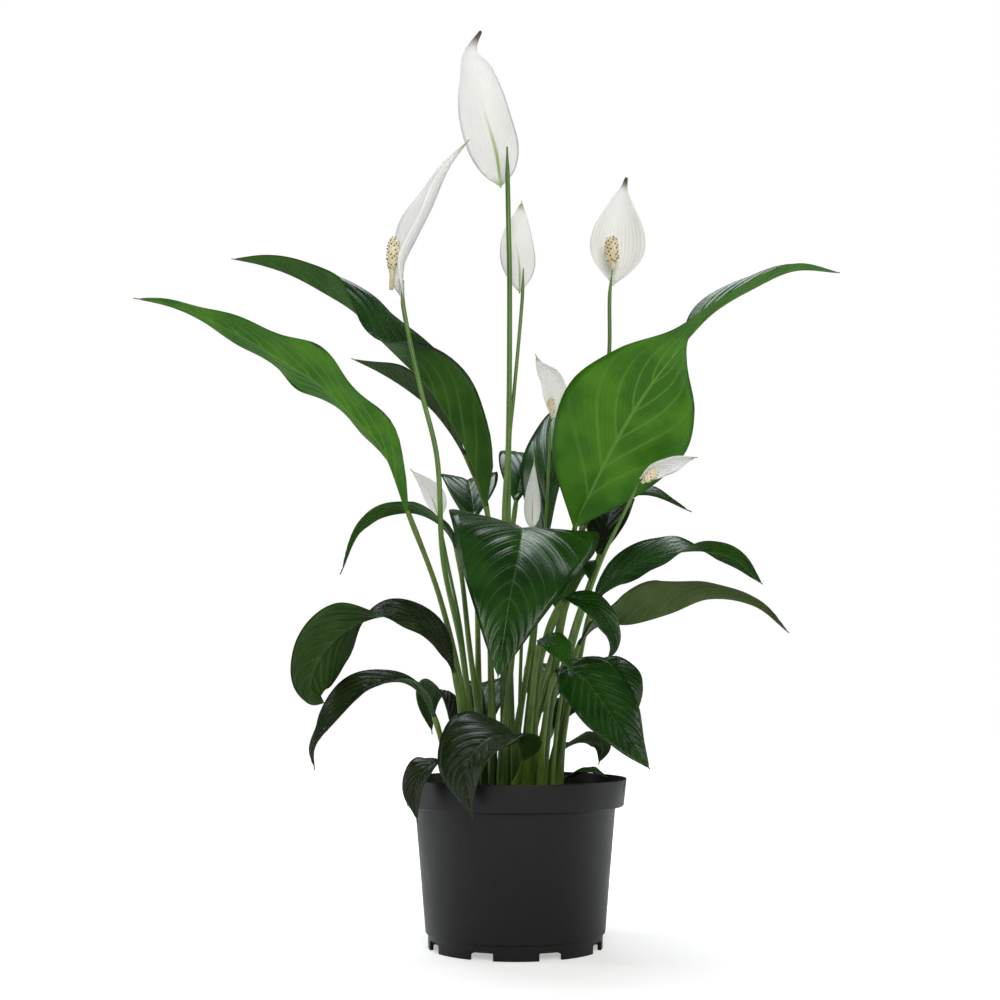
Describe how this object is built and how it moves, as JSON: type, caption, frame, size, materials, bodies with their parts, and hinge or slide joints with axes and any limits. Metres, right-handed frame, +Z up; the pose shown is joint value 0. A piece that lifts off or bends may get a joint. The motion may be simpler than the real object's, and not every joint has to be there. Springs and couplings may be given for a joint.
{
  "type": "potted peace lily",
  "caption": "Peace lily in a round plastic nursery pot: arching pointed leaves on long stalks and white hooded flowers above them.",
  "frame": {"origin": "on the pot's axis at the surface it stands on", "axes": "+Z up along the pot's axis, -Y the front, +X to the right as seen from the front"},
  "size_m": [0.5362, 0.3907, 0.7185],
  "materials": {
    "pot": "satin",
    "potting_mix": "matte",
    "leaf": "satin",
    "stem": "satin",
    "spathe": "satin",
    "spadix": "matte"
  },
  "bodies": {
    "root": {"leaf_arch_left": "leaf", "leaf_back_left": "leaf", "leaf_back_low": "leaf", "leaf_back_low_left": "leaf", "leaf_back_low_right": "leaf", "leaf_back_top": "leaf", "leaf_back_upright": "leaf", "leaf_behind_right": "leaf", "leaf_centre_right": "leaf", "leaf_curl_front": "leaf", "leaf_dart_front": "leaf", "leaf_front_centre": "leaf", "leaf_front_right": "leaf", "leaf_great_right": "leaf", "leaf_inner_right": "leaf", "leaf_long_left": "leaf", "leaf_low_left": "leaf", "leaf_mid_left": "leaf", "leaf_mid_right": "leaf", "leaf_olive_right": "leaf", "leaf_pale_right": "leaf", "leaf_rim_front": "leaf", "leaf_rim_left": "leaf", "leaf_small_left": "leaf", "leaf_small_right": "leaf", "leaf_soil_right": "leaf", "leaf_thin_left": "leaf", "leaf_thin_right": "leaf", "leaf_upper_left": "leaf", "pot": "pot", "potting_mix": "potting_mix", "spadix_left": "spadix", "spadix_low": "spadix", "spadix_middle": "spadix", "spadix_right": "spadix", "spadix_tall": "spadix", "spadix_wilted": "spadix", "spathe_centre_bud": "spathe", "spathe_left": "spathe", "spathe_left_bud": "spathe", "spathe_low": "spathe", "spathe_middle": "spathe", "spathe_right": "spathe", "spathe_tall": "spathe", "spathe_wilted": "spathe", "stem_centre_bud": "stem", "stem_left": "stem", "stem_left_bud": "stem", "stem_low": "stem", "stem_middle": "stem", "stem_right": "stem", "stem_tall": "stem", "stem_wilted": "stem"}
  },
  "joints": []
}
